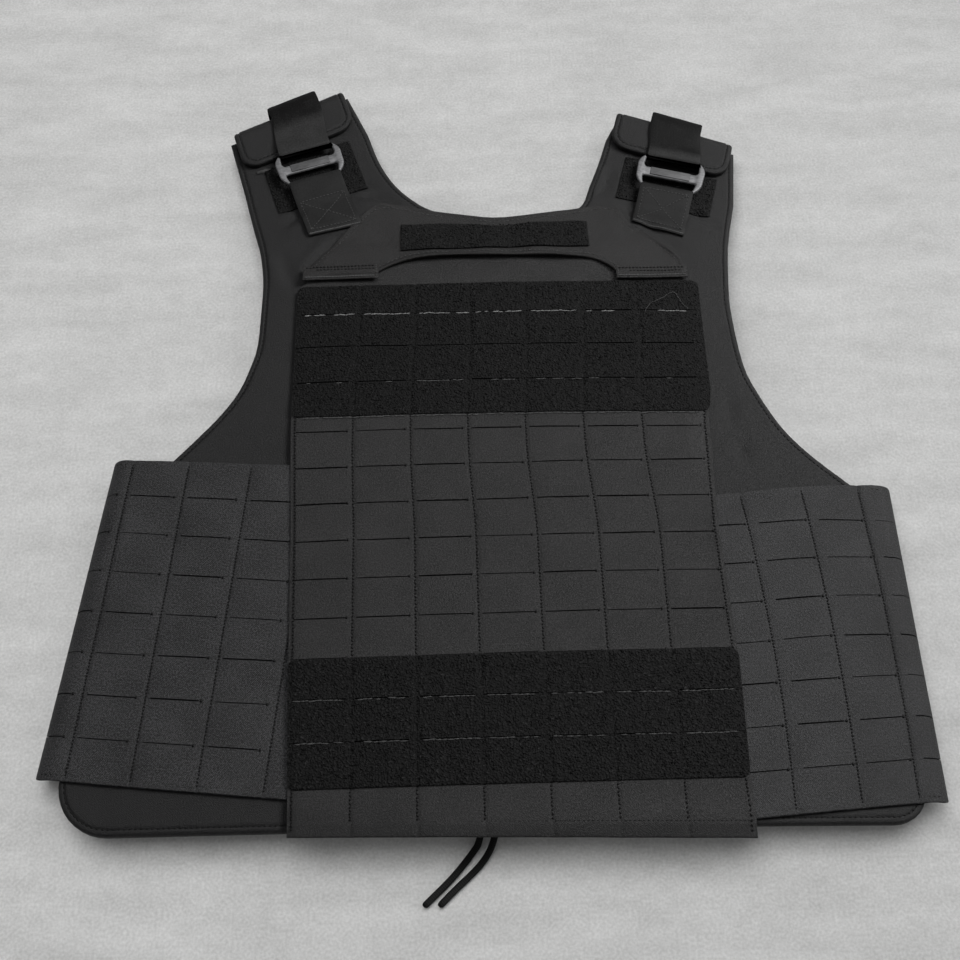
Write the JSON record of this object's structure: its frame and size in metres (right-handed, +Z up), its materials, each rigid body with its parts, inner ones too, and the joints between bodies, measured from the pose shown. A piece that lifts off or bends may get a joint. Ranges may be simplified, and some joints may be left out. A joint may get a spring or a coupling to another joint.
{
  "type": "bulletproof vest",
  "caption": "Black soft-armour plate carrier vest lying on its back, with a laser-cut slit grid flap, loop fields, folded side wings and webbing shoulder straps with metal slides.",
  "frame": {"origin": "on the floor plane under the middle of the vest's footprint, with the vest lying on its back and the drawcords left out", "axes": "+Z up out of the vest's front, +Y towards the neck and shoulders, +X to the viewer's right, which is the wearer's left"},
  "size_m": [0.5295, 0.5905, 0.0375],
  "materials": {
    "black_nylon": "near-black coated nylon with a fine plain weave, matt",
    "black_loop": "black brushed loop pile, matt, speckled",
    "black_webbing": "charcoal ribbed nylon webbing and cord",
    "grey_steel": "grey brushed steel with rounded, slightly worn edges"
  },
  "bodies": {
    "root": {"back_panel": "black_nylon", "front_panel": "black_nylon", "cummerbund_left": "black_nylon", "cummerbund_right": "black_nylon", "molle_flap": "black_nylon", "chest_yoke": "black_nylon", "upper_loop_panel": "black_loop", "lower_loop_panel": "black_loop", "name_strip": "black_loop", "shoulder_loop_left": "black_loop", "shoulder_loop_right": "black_loop", "yoke_tab_left": "black_webbing", "yoke_tab_right": "black_webbing", "shoulder_strap_left": "black_webbing", "shoulder_strap_right": "black_webbing", "keeper_left": "black_webbing", "keeper_right": "black_webbing", "drawcord_left": "black_webbing", "drawcord_right": "black_webbing", "buckle_left": "grey_steel", "buckle_right": "grey_steel"}
  },
  "joints": []
}
